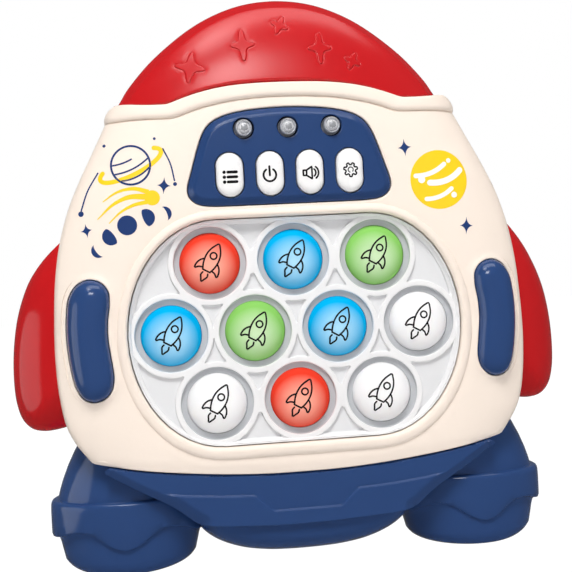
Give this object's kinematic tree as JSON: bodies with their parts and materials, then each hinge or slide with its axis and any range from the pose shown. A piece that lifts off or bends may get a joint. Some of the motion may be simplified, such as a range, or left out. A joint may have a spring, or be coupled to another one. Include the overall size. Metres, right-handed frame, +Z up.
{
  "type": "electronic bubble pop game",
  "caption": "Rocket-shaped hand-held press-the-light game: cream casing with red nose and fins, blue feet, an oval window of lit silicone bubbles, control buttons and side grips.",
  "frame": {"origin": "on the floor, midway between the two feet and midway in the depth of the toy", "axes": "+Z up towards the nose tip, the bubbles face -Y, +X is the player's right"},
  "size_m": [0.1774, 0.0438, 0.1792],
  "materials": {
    "cream_plastic": "satin-gloss moulded ABS, warm cream",
    "red_plastic": "polished moulded ABS, signal red",
    "blue_plastic": "polished moulded ABS, navy blue",
    "button_white": "polished white button caps with printed symbols",
    "led_clear": "clear epoxy",
    "keypad_rubber": "grey silicone rubber",
    "board_green": "green solder mask",
    "insert_grey": "satin light grey ABS",
    "silicone_red": "glossy translucent silicone, lit red",
    "silicone_blue": "glossy translucent silicone, lit blue",
    "silicone_green": "glossy translucent silicone, lit green",
    "silicone_white": "glossy translucent silicone, unlit",
    "black_plastic": "black moulded plastic",
    "inner_white": "unpainted moulded ABS",
    "cell_wrap": "plain printed cell wrap",
    "steel": "zinc-plated steel",
    "wire_red": "PVC wire insulation"
  },
  "bodies": {
    "casing": {"front_shell": "cream_plastic", "rear_shell": "cream_plastic", "nose_front": "red_plastic", "nose_rear": "red_plastic", "left_fin": "red_plastic", "right_fin": "red_plastic", "left_foot": "blue_plastic", "right_foot": "blue_plastic", "base_skirt": "blue_plastic", "belly": "blue_plastic", "left_grip": "blue_plastic", "right_grip": "blue_plastic", "control_panel": "blue_plastic", "led_left": "led_clear", "led_middle": "led_clear", "led_right": "led_clear", "keypad": "keypad_rubber", "control_board": "board_green", "main_board": "board_green", "ring_plate": "insert_grey", "light_frame": "black_plastic", "speaker": "black_plastic", "speaker_lead": "black_plastic", "battery_box": "inner_white", "battery_1": "cell_wrap", "battery_2": "cell_wrap", "battery_3": "cell_wrap", "battery_contact_left": "steel", "battery_contact_right": "steel", "case_screw_1": "steel", "case_screw_2": "steel", "case_screw_3": "steel", "case_screw_4": "steel", "case_screw_5": "steel", "case_screw_6": "steel", "power_lead": "wire_red"},
    "bubble_1": {"bubble_1": "silicone_red"},
    "bubble_2": {"bubble_2": "silicone_blue"},
    "bubble_3": {"bubble_3": "silicone_green"},
    "bubble_4": {"bubble_4": "silicone_blue"},
    "bubble_5": {"bubble_5": "silicone_green"},
    "bubble_6": {"bubble_6": "silicone_blue"},
    "bubble_7": {"bubble_7": "silicone_white"},
    "bubble_8": {"bubble_8": "silicone_white"},
    "bubble_9": {"bubble_9": "silicone_red"},
    "bubble_10": {"bubble_10": "silicone_white"},
    "menu_button": {"menu_button": "button_white"},
    "power_button": {"power_button": "button_white"},
    "volume_button": {"volume_button": "button_white"},
    "settings_button": {"settings_button": "button_white"},
    "battery_cover": {"battery_door": "cream_plastic", "battery_door_screw": "steel"}
  },
  "joints": [
    {"name": "bubble_1_press", "type": "slide", "parent": "casing", "child": "bubble_1", "axis": [0, 1, 0], "range_m": [0, 0.0035], "stiffness_N_per_m": 350},
    {"name": "bubble_2_press", "type": "slide", "parent": "casing", "child": "bubble_2", "axis": [0, 1, 0], "range_m": [0, 0.0035], "stiffness_N_per_m": 350},
    {"name": "bubble_3_press", "type": "slide", "parent": "casing", "child": "bubble_3", "axis": [0, 1, 0], "range_m": [0, 0.0035], "stiffness_N_per_m": 350},
    {"name": "bubble_4_press", "type": "slide", "parent": "casing", "child": "bubble_4", "axis": [0, 1, 0], "range_m": [0, 0.0035], "stiffness_N_per_m": 350},
    {"name": "bubble_5_press", "type": "slide", "parent": "casing", "child": "bubble_5", "axis": [0, 1, 0], "range_m": [0, 0.0035], "stiffness_N_per_m": 350},
    {"name": "bubble_6_press", "type": "slide", "parent": "casing", "child": "bubble_6", "axis": [0, 1, 0], "range_m": [0, 0.0035], "stiffness_N_per_m": 350},
    {"name": "bubble_7_press", "type": "slide", "parent": "casing", "child": "bubble_7", "axis": [0, 1, 0], "range_m": [0, 0.0035], "stiffness_N_per_m": 350},
    {"name": "bubble_8_press", "type": "slide", "parent": "casing", "child": "bubble_8", "axis": [0, 1, 0], "range_m": [0, 0.0035], "stiffness_N_per_m": 350},
    {"name": "bubble_9_press", "type": "slide", "parent": "casing", "child": "bubble_9", "axis": [0, 1, 0], "range_m": [0, 0.0035], "stiffness_N_per_m": 350},
    {"name": "bubble_10_press", "type": "slide", "parent": "casing", "child": "bubble_10", "axis": [0, 1, 0], "range_m": [0, 0.0035], "stiffness_N_per_m": 350},
    {"name": "menu_button_press", "type": "slide", "parent": "casing", "child": "menu_button", "axis": [0, 1, 0], "range_m": [0, 0.0012], "stiffness_N_per_m": 700},
    {"name": "power_button_press", "type": "slide", "parent": "casing", "child": "power_button", "axis": [0, 1, 0], "range_m": [0, 0.0012], "stiffness_N_per_m": 700},
    {"name": "volume_button_press", "type": "slide", "parent": "casing", "child": "volume_button", "axis": [0, 1, 0], "range_m": [0, 0.0012], "stiffness_N_per_m": 700},
    {"name": "settings_button_press", "type": "slide", "parent": "casing", "child": "settings_button", "axis": [0, 1, 0], "range_m": [0, 0.0012], "stiffness_N_per_m": 700},
    {"name": "battery_cover_lift", "type": "slide", "parent": "casing", "child": "battery_cover", "axis": [0, 1, 0], "range_m": [0, 0.03]}
  ]
}
